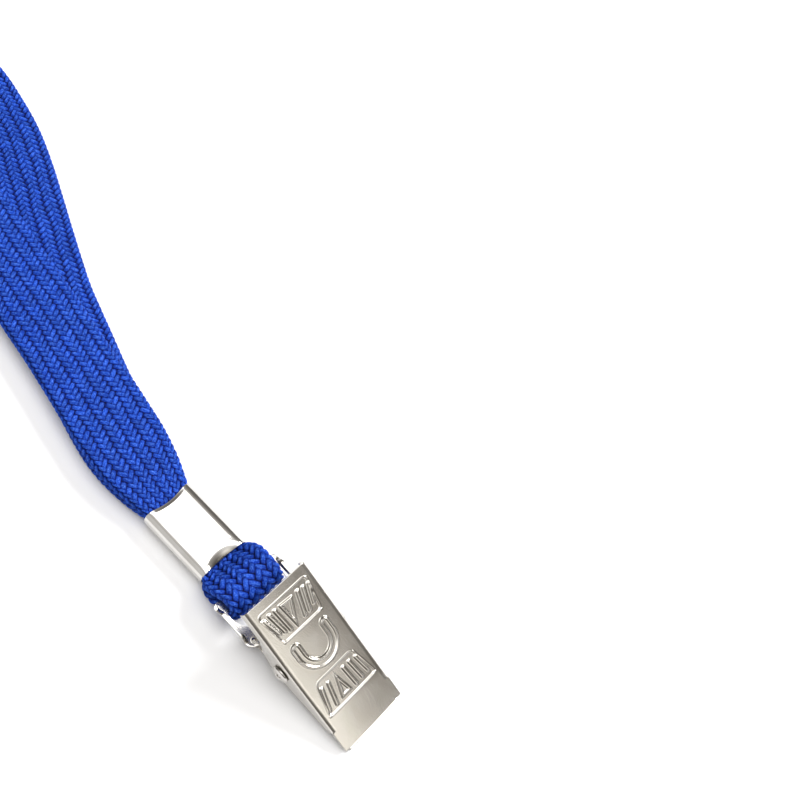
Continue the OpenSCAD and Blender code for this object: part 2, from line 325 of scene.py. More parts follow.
def new_material(name, settings):
    """A material, its node tree and its shader, with numbers set on the shader's own sockets."""
    material = bpy.data.materials.new(name)
    material.use_nodes = True
    shader = material.node_tree.nodes["Principled BSDF"]
    for key, value in settings.items():
        shader.inputs[key].default_value = value
    return material, material.node_tree, shader


def feed(tree, socket, value):
    """Links a node's output into a socket, or sets the socket to a value."""
    if isinstance(value, bpy.types.NodeSocket):
        tree.links.new(value, socket)
    else:
        socket.default_value = value


def add(tree, kind, inputs=(), output=0, **settings):
    """Adds a node with settings and, by socket, what feeds it, and returns one of its outputs."""
    made = tree.nodes.new("ShaderNode" + kind)
    for key, value in settings.items():
        setattr(made, key, value)
    for key, value in dict(inputs).items():
        feed(tree, made.inputs[key], value)
    return made.outputs[output]


def calc(tree, operation, *values):
    """A Math node's result."""
    return add(tree, "Math", enumerate(values), operation=operation)


def times(tree, a, b):
    """One number times another."""
    return calc(tree, "MULTIPLY", a, b)


def plus(tree, a, b):
    """The sum of two numbers."""
    return calc(tree, "ADD", a, b)


def tinted(tree, colour, tint):
    """One colour times another."""
    return add(tree, "VectorMath", {0: colour, 1: tint}, operation="MULTIPLY")


def ramp(tree, value, stops):
    """A colour ramp: stops are (place, colour) from low to high."""
    made = tree.nodes.new("ShaderNodeValToRGB")
    for _ in range(len(stops) - 2):
        made.color_ramp.elements.new(0.5)
    for element, (place, colour) in zip(made.color_ramp.elements, stops):
        element.position = place
        element.color = (*colour, 1)
    tree.links.new(value, made.inputs[0])
    return made.outputs[0]


def mixed(tree, share, a, b, kind="RGBA"):
    """A mix of two colours, numbers or vectors. The node has two inputs and an output for each kind."""
    first, output = {"FLOAT": (2, 0), "VECTOR": (4, 1), "RGBA": (6, 2)}[kind]
    return add(tree, "Mix", {0: share, first: a, first + 1: b}, output, data_type=kind)


def noise(tree, vector, detail=2.0, roughness=0.5):
    """Noise whose grains are about one unit of the vector across."""
    return add(tree, "TexNoise", {"Vector": vector, "Scale": 1.0, "Detail": detail, "Roughness": roughness})


def stretched(tree, x, y, z):
    """The place on the object, in so many grains to the millimetre on each axis."""
    place = add(tree, "TexCoord", output="Object")
    return add(tree, "Mapping", {"Vector": place, "Scale": [k / MM for k in (x, y, z)]})


def even(tree, grains):
    """The place on the object, with as many grains to the millimetre on every axis."""
    return stretched(tree, grains, grains, grains)


def surfaced(tree, shader, colour, height, distance):
    """Gives the shader a colour, and a bump that is distance millimetres high where height is 1."""
    normal = add(tree, "Bump", {"Height": height, "Distance": distance * MM, "Strength": 1.0})
    tree.links.new(colour, shader.inputs["Base Color"])
    tree.links.new(normal, shader.inputs["Normal"])


# ---- Materials ----

def weave_place(tree):
    """Where a point lies in the weave. The UV map counts the two families of yarns, a along U and b along V.

    Returns the place along and across the yarn on top, both 0 to 1, coordinates that run with its fibres,
    and a random number for each float.
    """
    weave = add(tree, "SeparateXYZ", {0: add(tree, "UVMap", uv_map="weave")}).node
    a, b = weave.outputs[0], weave.outputs[1]
    in_a, in_b = calc(tree, "FRACT", a), calc(tree, "FRACT", b)
    cell_a, cell_b = calc(tree, "FLOOR", a), calc(tree, "FLOOR", b)
    cell = calc(tree, "FLOORED_MODULO", calc(tree, "SUBTRACT", cell_a, cell_b), 4)
    a_over = calc(tree, "LESS_THAN", cell, 1.5)
    along_a = times(tree, plus(tree, cell, in_a), 0.5)
    along_b = times(tree, calc(tree, "SUBTRACT", plus(tree, in_b, 3), cell), 0.5)
    along = mixed(tree, a_over, along_b, along_a, "FLOAT")
    across = mixed(tree, a_over, in_a, in_b, "FLOAT")

    def run(length, width, family):
        return add(tree, "CombineXYZ", {0: times(tree, length, 1.3), 1: times(tree, width, 15), 2: family})

    fibre_run = mixed(tree, a_over, run(b, a, 9), run(a, b, 0), "VECTOR")
    start_a = calc(tree, "SUBTRACT", cell_a, cell)
    start_b = plus(tree, calc(tree, "SUBTRACT", cell_b, 3), cell)
    float_a = add(tree, "CombineXYZ", {0: start_a, 1: cell_b, 2: 0})
    float_b = add(tree, "CombineXYZ", {0: cell_a, 1: start_b, 2: 1})
    which = mixed(tree, a_over, float_b, float_a, "VECTOR")
    return along, across, fibre_run, add(tree, "TexWhiteNoise", {"Vector": which}, noise_dimensions="3D")


def braid_material():
    """Royal blue multifilament yarn with fibres, fuzz and a tone for each float, painted shade between the
    floats and a painted highlight on their crowns and on bright fibres.
    """
    material, tree, shader = new_material("royal_blue_braid", {"Roughness": 0.65, "Specular IOR Level": 0.08})
    along, across, fibre_run, chance = weave_place(tree)

    def arch(x, power):
        wave = calc(tree, "SINE", times(tree, x, math.pi))
        return calc(tree, "POWER", calc(tree, "MAXIMUM", wave, 0.0001), power)

    rise = add(tree, "MapRange", {0: along, 3: FLOAT_START, 4: 1.0})
    crown = times(tree, arch(rise, 0.6), arch(across, 0.46))
    fibres = times(tree, noise(tree, fibre_run, 3), 0.5)
    fuzz = times(tree, noise(tree, even(tree, 3.2), 4, 0.7), 0.5)
    mottle = plus(tree, fibres, fuzz)
    # Painted shade and highlight: near black between the floats, where shade falls, and brightest on their
    # crowns.
    yarn = ramp(tree, crown,
                [(0.17, (0.0003, 0.001, 0.03)), (0.5, (0.005, 0.032, 0.31)), (0.95, (0.019, 0.088, 0.54))])
    # Fibre mottling, partly the fibres' own tone; its bright, whitish end above 1 is a painted glint.
    fibre_tone_and_glints = ramp(tree, mottle,
                      [(0.41, (0.12, 0.33, 0.6)), (0.5, (0.85, 0.92, 0.96)), (0.59, (3.8, 2.1, 1.32))])
    patches = noise(tree, even(tree, 0.35), 3)
    patch_tone = ramp(tree, patches, [(0.3, (0.84, 0.86, 0.9)), (0.7, (1.1, 1.08, 1.05))])
    float_tone = add(tree, "MapRange", {0: chance, 3: 0.78, 4: 1.14})
    tone = tinted(tree, fibre_tone_and_glints, patch_tone)
    tone = add(tree, "VectorMath", {0: tone, "Scale": float_tone}, operation="SCALE")
    height = plus(tree, times(tree, crown, 0.6), times(tree, mottle, 0.6))
    surfaced(tree, shader, tinted(tree, yarn, tone), height, 0.2)
    return material


def nickel_material(name, colour, rough, grain, painted_shade_colour=(0.3, 0.28, 0.25), scratch=0.35):
    """Nickel plate between two roughnesses, with a fine grain and scratches.

    A point attribute paints shade: where it is high the colour turns to the darker colour given after grain,
    standing in for shadow and dark reflections, and "frost" makes it rougher and speckled.
    """
    material, tree, shader = new_material(name, {"Metallic": 1.0})
    fine = noise(tree, even(tree, 7), 3)
    clouds = noise(tree, stretched(tree, 0.22, 0.3, 0.3), 4)
    lines = noise(tree, stretched(tree, 0.5, 16, 4), 3, 0.6)
    speckles = noise(tree, even(tree, 5), 2)
    frost = add(tree, "Attribute", attribute_name="frost", output="Fac")
    painted_shade = add(tree, "Attribute", attribute_name="painted_shade", output="Fac")
    wear = plus(tree, times(tree, clouds, 0.6), times(tree, fine, 0.4))
    plain = add(tree, "MapRange", {0: wear, 1: 0.3, 2: 0.7, 3: rough[0], 4: rough[1]})
    roughness = plus(tree, plain, times(tree, frost, 0.08))
    tree.links.new(roughness, shader.inputs["Roughness"])
    # Painted shade and dark reflection: the colour goes to the darker one where the attribute is 1.
    tone = mixed(tree, painted_shade, (*colour, 1), (*painted_shade_colour, 1))
    shade = ramp(tree, clouds, [(0.3, (0.9, 0.89, 0.87)), (0.7, (1, 1, 1))])
    frosted = times(tree, times(tree, speckles, frost), 4.0)
    scratched = times(tree, lines, grain * scratch)
    height = plus(tree, times(tree, fine, grain), scratched)
    surfaced(tree, shader, tinted(tree, tone, shade), plus(tree, height, frosted), 0.01)
    return material


def band_material():
    """Black knitted elastic, worn paler in places."""
    material, tree, shader = new_material("black_elastic", {"Roughness": 0.8, "Sheen Weight": 0.3})
    knit = noise(tree, stretched(tree, 2.5, 5, 5), 3)
    wear = noise(tree, even(tree, 0.3), 2)
    base = ramp(tree, knit, [(0.3, (0.008, 0.008, 0.009)), (0.75, (0.035, 0.035, 0.038))])
    worn = ramp(tree, wear, [(0.35, (0.8, 0.8, 0.8)), (0.7, (1.3, 1.3, 1.3))])
    surfaced(tree, shader, tinted(tree, base, worn), knit, 0.12)
    return material


def floor_material():
    """A plain pale surface, a little uneven in tone."""
    material, tree, shader = new_material("pale_floor", {"Roughness": 0.7})
    patches = noise(tree, even(tree, 0.02), 2)
    tone = ramp(tree, patches, [(0, (0.86, 0.86, 0.87)), (1, (0.9, 0.9, 0.9))])
    tree.links.new(tone, shader.inputs["Base Color"])
    return material


BRAID = braid_material()
CRIMP_NICKEL = nickel_material("bright_nickel", (0.7, 0.69, 0.67), (0.06, 0.14), 0.3, (0.25, 0.24, 0.22))
PLATE_NICKEL = nickel_material("nickel_plate", (0.65, 0.63, 0.59), (0.1, 0.19), 1.3, (0.3, 0.27, 0.23))
PIN_NICKEL = nickel_material("nickel_pin", (0.6, 0.585, 0.56), (0.14, 0.28), 0.8)
SPRING_STEEL = nickel_material("spring_wire", (0.55, 0.53, 0.5), (0.2, 0.34), 0.8, scratch=1.0)
ELASTIC = band_material()


# ---- Camera ----

def make_camera():
    """The photograph's viewing angle: steep, from beside the jaw, and rolled."""
    place = Vector((23.46, -46.69, 170.01)) * MM
    aim = Vector((-13.6, 49, 0)) * MM
    roll = math.radians(25.3)
    camera = bpy.data.objects.new("camera", bpy.data.cameras.new("camera"))
    camera.data.lens = 44.64
    camera.data.sensor_width = 36
    camera.data.clip_start = 0.01
    camera.data.clip_end = 60
    turn = (aim - place).to_track_quat("-Z", "Y").to_matrix().to_4x4()
    camera.matrix_world = Matrix.Translation(place) @ turn @ Matrix.Rotation(roll, 4, "Z")
    bpy.context.scene.collection.objects.link(camera)
    bpy.context.scene.camera = camera


make_camera()


# ---- Braid ----

def outline(share, width, thick):
    """Points and outward directions round a flat tube, by share of its girth from the middle of its top."""
    flat = (width - thick) / 2
    r = thick / 2
    bend = math.pi * r
    q = share * (4 * flat + 2 * bend)
    first = np.clip((q - flat) / r, 0, math.pi)
    second = np.clip((q - 3 * flat - bend) / r, 0, math.pi)
    angle = first + second
    run = q - r * angle
    straight = np.where(run < flat, run, np.where(run < 3 * flat, 2 * flat - run, run - 4 * flat))
    return straight + r * np.sin(angle), r * np.cos(angle), np.sin(angle), np.cos(angle)


def yarn_height(a, b):
    """How far the yarn on top stands up, 0 to 1, in a braid whose yarns pass over two and under two."""
    cell = (np.floor(a) - np.floor(b)) % 4
    in_a, in_b = a - np.floor(a), b - np.floor(b)
    a_over = cell < 1.5
    along = np.where(a_over, (cell + in_a) / 2, (3 - cell + in_b) / 2)
    across = np.where(a_over, in_b, in_a)
    rise = FLOAT_START + (1 - FLOAT_START) * np.clip(along, 0, 1)
    return np.sin(np.pi * rise) ** 0.55 * np.sin(np.pi * np.clip(across, 0, 1)) ** 0.5


def wander(distance, share, seed):
    """How far the stitches stray from an even pattern, in millimetres: waves along and round the braid."""
    stray = 0.07
    waves = ((1.9, 2), (1.3, -3), (2.7, 5), (4.1, 1))
    angle = 2 * math.pi * share
    return sum(stray * np.sin(distance / length + turns * angle + seed * k)
               for k, (length, turns) in enumerate(waves))


def braid(name, line, width_at, thick_at, columns, stitch, relief, shaped=None):
    """A flat tubular braid along a line. Its points lie on the lines of the yarns, which run at 45 degrees.

    width_at and thick_at give its size by distance along the line. columns is how many columns of stitches it
    has all round, stitch is their length, and relief is how deep the gaps between the yarns are. shaped moves
    the points in the end. Its flat faces hold the model's Y direction. Returns the object and, in metres, the
    centres of its rings.
    """
    spacing = stitch / LATTICE
    centres = resampled(line, spacing)
    count = len(centres) - len(centres) % 2
    centres = centres[:count]
    tangents = unit(np.gradient(centres, axis=0))
    normals = unit(np.column_stack([-tangents[:, 2], np.zeros(count), tangents[:, 0]]))
    sides = np.cross(normals, tangents)
    around = columns * LATTICE // 2
    row = np.arange(count)[:, None]
    step = 2 * np.arange(around)[None, :] + row % 2
    distance = row * spacing
    share = step / (2 * around)
    strayed = share + wander(distance, share, 1) / (columns * stitch)
    y, z, out_y, out_z = outline(strayed, width_at(distance), thick_at(distance))
    sunk = (yarn_height((row + step) / LATTICE, (row - step) / LATTICE) - 1) * relief
    y = y + out_y * sunk
    z = z + out_z * sunk
    points = centres[:, None] + sides[:, None] * y[..., None] + normals[:, None] * z[..., None]
    points = points + tangents[:, None] * wander(distance, share, 4)[..., None]
    points[..., 2] = np.maximum(points[..., 2], 0)     # nothing goes below the surface it lies on
    if shaped is not None:
        points = shaped(points)

    index = np.arange(count * around).reshape(count, around)
    odd = row % 2 == 1
    right = np.where(odd, np.roll(index, -1, axis=1), index) + around
    left = np.where(odd, index, np.roll(index, 1, axis=1)) + around
    quads = np.stack([index[:-2], right[:-2], index[2:], left[:-2]], 2).reshape(-1, 4)
    in_row, at_step = np.broadcast_to(row, step.shape)[:-2], step[:-2]
    corners = ((in_row, at_step), (in_row + 1, at_step + 1), (in_row + 2, at_step), (in_row + 1, at_step - 1))
    uvs = [np.stack([(r + m) / LATTICE, (r - m) / LATTICE], -1) for r, m in corners]
    uvs = np.stack(uvs, 2).reshape(-1, 2)
    first_rim = np.stack([index[0], right[0]], 1).ravel()
    last_rim = np.stack([index[-2], right[-2]], 1).ravel()
    caps = [np.stack([np.roll(rim, -1), rim, np.full(len(rim), middle)], 1)
            for rim, middle in ((first_rim, index.size), (last_rim[::-1], index.size + 1))]
    points = np.vstack([points.reshape(-1, 3), centres[0], centres[-1]])
    cap_uvs = np.zeros((3 * sum(len(cap) for cap in caps), 2))
    made = make_object(name, points, [quads, *caps], BRAID, corner_uvs=np.vstack([uvs, cap_uvs]))
    return made, centres * MM


def fold_line():
    """The middle of the braid through the hank: four runs folded over each other, left and right by turns."""
    levels = (10.4, 7.6, 4.6, 1.9)
    lanes = (18, 26, 18, 26)
    fold_r = 2
    fold_lane = 22
    drift = 0.9            # a run goes into its fold this far to a side, and comes out to the other
    lane_ease = 30
    level_ease = 9
    inset = fold_r + STRAP_T / 2 + 0.3
    third_inset = 6        # the lowest fold lies inside the highest one
    near, far = hank_high[0], hank_low[0]
    folds = [far + inset, near - inset, far + inset + third_inset]
    starts = [near, *folds]
    ends = [*folds, near]
    sideways = np.sign(np.diff(lanes)) * drift
    middles = (np.array(levels[:-1]) + levels[1:]) / 2
    line = []
    for k in range(4):
        heading = -1 if k % 2 == 0 else 1
        x = np.arange(starts[k], ends[k], heading * 0.5)
        y = np.full(len(x), float(lanes[k]))
        z = np.full(len(x), float(levels[k]))
        for fold in (k - 1, k):
            if not 0 <= fold < 3:
                continue
            leaving = 1 if fold < k else -1
            away = np.abs(x - folds[fold])
            y += (fold_lane + sideways[fold] * leaving - lanes[k]) * np.clip(1 - away / lane_ease, 0, 1) ** 2
            z += (middles[fold] - fold_r * leaving - levels[k]) * smooth(1 - away / level_ease)
        line.append(np.column_stack([x, y, z]))
        if k < 3:
            turn = np.linspace(0, math.pi, 14)
            fold_x = folds[k] + heading * fold_r * np.sin(turn)
            fold_y = fold_lane + sideways[k] * (2 * turn / math.pi - 1)
            fold_z = middles[k] + fold_r * np.cos(turn)
            line.append(np.column_stack([fold_x, fold_y, fold_z]))
    return eased(resampled(np.vstack(line), 0.4), 2)


def leg_line(route):
    """A leg's route as a smooth line."""
    return eased(resampled(route, 0.5), 8)


def neck_strap():
    """The neck strap: out of the crimp along one leg, through the hank, and back along the other leg."""
    hidden = 1.6           # length inside the crimp
    inwards = np.array([[hidden, 0, 0]])
    top, under = leg_line(TOP_ROUTE), leg_line(UNDER_ROUTE)
    line = np.vstack([top[:1] + inwards, top, fold_line()[1:-1], under[::-1], under[:1] + inwards])
    line = resampled(line, 0.4)
    length = along_line(line)[-1]

    def opened(distance):
        """From 0, as narrow as in the crimp, to 1, the braid's own size."""
        k = np.clip((np.minimum(distance, length - distance) - hidden) / OPENS_OVER, 0, 1)
        return k * (2 - k)

    def width_at(distance):
        ripple = 0.12 * np.sin(distance / 9.1) + 0.09 * np.sin(distance / 3.7 + 1)
        return LAYER_W + (STRAP_W - LAYER_W + ripple) * opened(distance)

    def thick_at(distance):
        return LAYER_T + (STRAP_T - LAYER_T) * opened(distance)

    made, centres = braid("neck_strap", line, width_at, thick_at, columns=26, stitch=1.26, relief=0.4)
    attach(made, "strap")
    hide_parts("strap_leg_top", "strap_leg_under", "strap_hank")
    return made, centres, length


def end_loop():
    """The braid's short loop out of the crimp and round the tail bar, pressed down at the crimp's mouth."""
    start = crimp_high[0]
    hidden = 3             # length of each end inside the crimp
    arc_points = 40
    r = BAR_LOOP_R + LOOP_T / 2
    turn = np.radians(np.linspace(118, -118, arc_points))
    arc = np.column_stack([bar_at[0] + r * np.cos(turn), np.zeros(arc_points), bar_at[2] + r * np.sin(turn)])

    def run_to(end, height):
        """From the crimp's mouth at a height to an end of the arc."""
        k = np.linspace(0, 1, 16)[:-1, None]
        return np.hstack([start + (end[0] - start) * k, 0 * k, height + (end[2] - height) * smooth(k)])

    out, back = run_to(arc[0], TOP_LAYER), run_to(arc[-1], UNDER_LAYER)
    first, last = (start - hidden, 0, TOP_LAYER), (start - hidden, 0, UNDER_LAYER)
    line = eased(resampled(np.vstack([first, out, arc, back[::-1], last]), 0.2), 3)
    length = along_line(line)[-1]

    def width_at(distance):
        """Narrow in the crimp and wide round the bar, with a bulge between them."""
        from_end = np.minimum(distance, length - distance)
        bulge = 0.9 * np.exp(-((from_end - 6.5) / 2.2) ** 2)
        return LAYER_W + (LOOP_W - LAYER_W) * smooth((from_end - 2.2) / 2.6) + bulge

    def thick_at(distance):
        from_end = np.minimum(distance, length - distance)
        return LAYER_T + (LOOP_T - LAYER_T) * smooth((from_end - 2) / 3)

    def dented(points):
        """Presses the top layer down beside the crimp."""
        deepest, half_width = 1.15, 4.6
        x, y, z = points[..., 0], points[..., 1], points[..., 2]
        near = np.exp(-np.clip(x - start - 0.1, 0, None) ** 2 / 3.6)
        bow = np.clip(1 - (y / half_width) ** 2, 0, 1) ** 0.7
        dent = deepest * near * bow * smooth((z - CRIMP_H / 2) / 1.2)
        return np.stack([x, y, z - dent], -1)

    made = braid("strap_end_loop", line, width_at, thick_at, columns=20, stitch=1.4, relief=0.5,
                 shaped=dented)[0]
    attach(made, "strap")
    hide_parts("end_loop")


# ---- Hank tie ----

def hank_tie():
    """A ribbed elastic band round the four runs of the hank."""
    wall = 0.8
    rib_height, rib_width = 0.06, 0.75
    section_points = 72
    squareness = 0.45      # below 1 the section is a rounded rectangle
    above_floor = 0.02
    overlap = 30           # points past the join that the easing sees
    middle = (tie_low[0] + tie_high[0]) / 2
    half = (tie_high[0] - tie_low[0]) / 2
    corners = [(33.6, 1.3), (33.6, 8.4), (25.6, 11.6), (10.4, 11.6), (10.4, 3.7), (18.4, 0.7), (33, 0.7)]
    closed = resampled([*corners, corners[0]], 0.25)[:-1]
    path = eased(np.vstack([closed[-overlap:], closed, closed[:overlap]]), 4)[overlap:-overlap]
    tangents = unit(np.roll(path, -1, axis=0) - np.roll(path, 1, axis=0))
    outward = np.column_stack([tangents[:, 1], -tangents[:, 0]])
    turn = np.linspace(0, 2 * math.pi, section_points, endpoint=False)

    def squared(wave):
        return np.sign(wave) * np.abs(wave) ** squareness

    across = half * squared(np.cos(turn))
    ribs = rib_height * np.cos(across * 2 * math.pi / rib_width) * (np.sin(turn) > 0.3)
    lift = np.clip(wall / 2 * (1 + squared(np.sin(turn))) + ribs, 0, None)
    yz = path[:, None] + outward[:, None] * lift[None, :, None]
    yz[..., 1] = np.maximum(yz[..., 1], above_floor)
    x = np.broadcast_to(middle + across, yz.shape[:2])
    points = np.concatenate([x[..., None], yz], -1)
    grid = np.arange(x.size).reshape(x.shape)
    quads = ring_quads(np.vstack([grid, grid[:1]]))
    made = tidied(make_object("elastic_hank_tie", points.reshape(-1, 3), [quads], ELASTIC))
    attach(made, "strap")
    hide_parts("hank_tie")
    return made


strap, strap_centres, strap_length = neck_strap()
tie = hank_tie()
end_loop()


# ---- Crimp sleeve ----

def crimp_sleeve():
    """A strip folded round the braid, its ends meeting underneath, with pressed edges at both mouths."""
    length = crimp_high[0] - crimp_low[0]
    flat_half = CRIMP_W / 2 - CRIMP_R
    seam = 0.07            # half the gap between the strip's ends
    bowed_half = 4.1       # half the width of the part of the top that the press bows
    strap_mouth, loop_mouth = 3, 3.4
    lip_depth, lip_drop, lip_pull = 2, 0.85, 0.3
    x = np.concatenate([np.linspace(0, strap_mouth, 22),
                        np.linspace(strap_mouth, length - loop_mouth, 24)[1:-1],
                        np.linspace(length - loop_mouth, length, 30)])[:, None]

    def wrap(inset):
        """The strip's section, from its end underneath, round the braid, to its other end."""
        r = CRIMP_R - inset
        bottom = np.linspace(seam, flat_half, 26)
        low_turn, high_turn = np.radians(np.linspace(-90, 0, 10)), np.radians(np.linspace(0, 90, 10))
        top = np.linspace(flat_half, -flat_half, 52)[1:26]
        side = np.vstack([
            np.column_stack([bottom, np.full(len(bottom), inset)]),
            np.column_stack([flat_half + r * np.cos(low_turn), CRIMP_R + r * np.sin(low_turn)]),
            [flat_half + r, CRIMP_H / 2],
            np.column_stack([flat_half + r * np.cos(high_turn), CRIMP_H - CRIMP_R + r * np.sin(high_turn)]),
            np.column_stack([top, np.full(len(top), CRIMP_H - inset)])])
        return np.vstack([side, side[::-1] * (-1, 1)])

    def crease(y):
        """A short crease that the pressed lip leaves in each corner of the top."""
        distance, k = to_segment(x - length, np.abs(y), (-2.4, 3.1), (-0.9, 3.5))
        return pressed(distance - 0.1 * k, 0.07, 0.3)

    def shell(inset):
        """The whole outer face of the sleeve, or with an inset the inner one."""
        y, z = wrap(inset).T
        top = smooth((z - CRIMP_H / 2) / (CRIMP_H / 2 - 0.6))
        bow = np.clip(1 - (y / bowed_half) ** 2, 0, 1)
        lip_start = length - lip_depth * np.sqrt(bow)
        lip = np.clip((x - lip_start) / lip_depth, 0, 1)
        hollow = 0.55 * top * bow ** 1.5 * (1 - smooth(x / strap_mouth))
        dip = 0.24 * top * bow * (1 - smooth(x / 0.9))
        drop = lip_drop * top * bow ** 0.35 * lip ** 1.35
        sag = 0.05 * top * np.cos(y / 5.2 * math.pi / 2) * np.sin(x / length * math.pi)
        shell_x = crimp_low[0] + x + hollow - lip_pull * top * bow * lip
        shell_z = z - dip - drop - crease(y) * top - sag
        return np.stack([shell_x, np.broadcast_to(y, shell_x.shape), shell_z], -1)

    outer = shell(0)
    sunk = CRIMP_H - outer[..., 2]
    # Painted shade: the pressed lip and the sunk middle of the top are coloured darker, standing in for their
    # shadow and the braid's dark reflection in them.
    painted_shade = smooth((sunk - 0.2) / 0.5) * (outer[..., 2] > CRIMP_H / 2) * (np.abs(outer[..., 1]) < 4)
    made = slab("folded_crimp_sleeve", outer, shell(CRIMP_WALL), CRIMP_NICKEL, {"painted_shade": painted_shade})
    softened(made, 0.09, 3)
    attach(made, "strap")
    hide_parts("crimp_sleeve")


crimp_sleeve()


# ---- Levers ----

def channel(name, s, half, depth, slot, relief, lip, frame_matrix, downwards, frost_from):
    """A lever pressed from one sheet: a web with a bent-up flange on each side.

    At each s, half is the half width, depth how far the flange reaches from the web's outer face, and slot
    the half width of an opening, or 0. relief(s, y) is how far the web is pressed outwards, and lip(s, y) how
    far the sheet is bent inwards. The sheet is frosted beyond frost_from, more so towards +y.
    """
    slot_count, web_count, bend_count, flange_count = 14, 64, 5, 9
    closed = 0.02          # where there is no opening, its points stand this close to the middle
    bend_r = np.clip((depth - SHEET_T) * 1.2, 0.12, 0.85)
    turn = np.linspace(-math.pi / 2, 0, bend_count + 2)[1:-1]

    def section(inset):
        """Rows of points across the whole outer face, or with an inset the inner one."""
        rows = []
        for i in range(len(s)):
            r = max(bend_r[i] - inset, 0.03)
            wall = half[i] - inset
            edge = wall - r
            bend_top = inset + r
            begin = slot[i] if slot[i] > 0 else closed
            in_slot = np.linspace(0, begin, slot_count + 1)[:-1]
            web_y = np.concatenate([in_slot, np.linspace(begin, edge, web_count)])
            web = np.column_stack([web_y, np.full(len(web_y), inset)])
            bend = np.column_stack([edge + r * np.cos(turn), bend_top + r * np.sin(turn)])
            flange_z = np.linspace(bend_top, max(depth[i], bend_top), flange_count)
            flange = np.column_stack([np.full(flange_count, wall), flange_z])
            side = np.vstack([web, bend, flange])
            both = np.vstack([side[:0:-1] * (-1, 1), side])
            rows.append(np.column_stack([np.full(len(both), s[i]), both]))
        return np.array(rows)

    outer, inner = section(0), section(SHEET_T)
    for grid, base in ((outer, 0), (inner, SHEET_T)):
        fade = np.clip(1 - (grid[..., 2] - base) / 0.4, 0, 1)
        grid[..., 2] -= relief(grid[..., 0], grid[..., 1]) * fade
        grid[..., 2] += lip(grid[..., 0], grid[..., 1])
        if downwards:
            grid[..., 2] *= -1
    columns = outer.shape[1]
    centre = columns // 2
    keep = np.ones((len(s) - 1, columns - 1), bool)
    open_rows = (slot[:-1] > 0) & (slot[1:] > 0)
    keep[np.ix_(open_rows, range(centre - slot_count, centre + slot_count))] = False
    # Painted reflection: the colour is darkened on the slopes of the relief, standing in for the dark
    # reflections that outline the embossing.
    steep = np.hypot(*np.gradient(relief(outer[..., 0], outer[..., 1])))
    painted_shade = np.clip(steep * 3.2, 0, 0.6)
    frost = smooth((outer[..., 0] - frost_from) / 1.5) * (0.25 + 0.75 * smooth((outer[..., 1] + 5) / 8))
    made = slab(name, placed(outer, frame_matrix), placed(inner, frame_matrix), PLATE_NICKEL,
                {"painted_shade": painted_shade, "frost": frost}, keep)
    return softened(made, 0.05)


def upper_emboss(s, y):
    """Two panels of ribs and a horseshoe thumb grip between them.

    Places are given as shares of the lever's length from its tail, and of its width from its -y side.
    """
    t = s / UPPER_LEN
    c = y / UPPER_W + 0.5
    line_w = 0.13
    rib_r = 0.27
    panel_r = 0.8
    panels = ((0.06, 0.275, 0.4, 0.315), (0.578, 0.782, 0.31, 0.405))
    ribs = (((0.1, 0.145), (0.215, 0.21)), ((0.095, 0.235), (0.225, 0.28)), ((0.095, 0.325), (0.24, 0.355)),
            ((0.1, 0.695), (0.235, 0.6)), ((0.105, 0.785), (0.23, 0.69)), ((0.11, 0.87), (0.215, 0.785)),
            ((0.625, 0.215), (0.75, 0.14)), ((0.625, 0.325), (0.752, 0.26)), ((0.622, 0.59), (0.748, 0.61)),
            ((0.622, 0.695), (0.745, 0.725)), ((0.628, 0.8), (0.74, 0.84)))
    wedges = (((0.25, 0.445), (0.088, 0.4), (0.095, 0.6)), ((0.615, 0.455), (0.75, 0.355), (0.75, 0.52)))
    grip_s, grip_r, grip_half, arm = 11.6, 3.3, 0.85, 1.6

    def at(share_t, share_c):
        return share_t * UPPER_LEN, (share_c - 0.5) * UPPER_W

    def to_panel(tail, tip, tail_half, tip_half):
        """Distance to a panel with round corners whose half width goes evenly from tail_half to tip_half."""
        half_c = tail_half + (tip_half - tail_half) * np.clip((t - tail) / (tip - tail), 0, 1)
        past_s = (np.abs(t - (tail + tip) / 2) - (tip - tail) / 2) * UPPER_LEN + panel_r
        past_y = (np.abs(c - 0.5) - half_c) * UPPER_W + panel_r
        outside = np.hypot(np.clip(past_s, 0, None), np.clip(past_y, 0, None))
        return outside + np.minimum(np.maximum(past_s, past_y), 0) - panel_r

    def to_wedge(*places):
        """Distance to a triangle, below 0 inside it."""
        corners = [np.array(at(*place)) for place in places]
        middle = sum(corners) / 3
        distance = np.full_like(s, -np.inf)
        for p, q in zip(corners, corners[1:] + corners[:1]):
            out = np.array([q[1] - p[1], p[0] - q[0]]) / np.linalg.norm(q - p)
            if out @ (middle - p) > 0:
                out = -out
            distance = np.maximum(distance, (s - p[0]) * out[0] + (y - p[1]) * out[1])
        return distance

    lift = np.zeros_like(s)
    for tail, tip, tail_half, tip_half in panels:
        edge = to_panel(tail, tip, tail_half, tip_half)
        end_line = to_segment(s, y, at(tip, 0.5 - tip_half), at(tip, 0.5 + tip_half))[0]
        lift -= pressed(edge, 0.08, 0.14)
        lift += pressed(np.abs(edge) - line_w, 0.08, 0.12)
        lift += pressed(end_line - line_w, 0.08, 0.12)
    nearest = np.min([to_segment(s, y, at(*a), at(*b))[0] for a, b in ribs], axis=0)
    lift += pressed(nearest - rib_r, 0.22, 0.17)
    for corners in wedges:
        edge = to_wedge(*corners)
        lift += pressed(edge, 0.24, 0.16) - pressed(edge + 0.42, 0.16, 0.14)
    curve = np.where(s > grip_s, np.abs(np.hypot(s - grip_s, y) - grip_r), np.inf)
    for side in (-grip_r, grip_r):
        curve = np.minimum(curve, to_segment(s, y, (grip_s - arm, side), (grip_s, side))[0])
    lift += pressed(curve - grip_half, 0.34, 0.16) - pressed(curve - grip_half + 0.42, 0.16, 0.18)
    crown = -0.16 * (2 * y / UPPER_W) ** 2
    return lift + crown + 0.05 * np.sin(s / 3.4 + 0.6) * np.cos(y / 4.6 + 0.5)


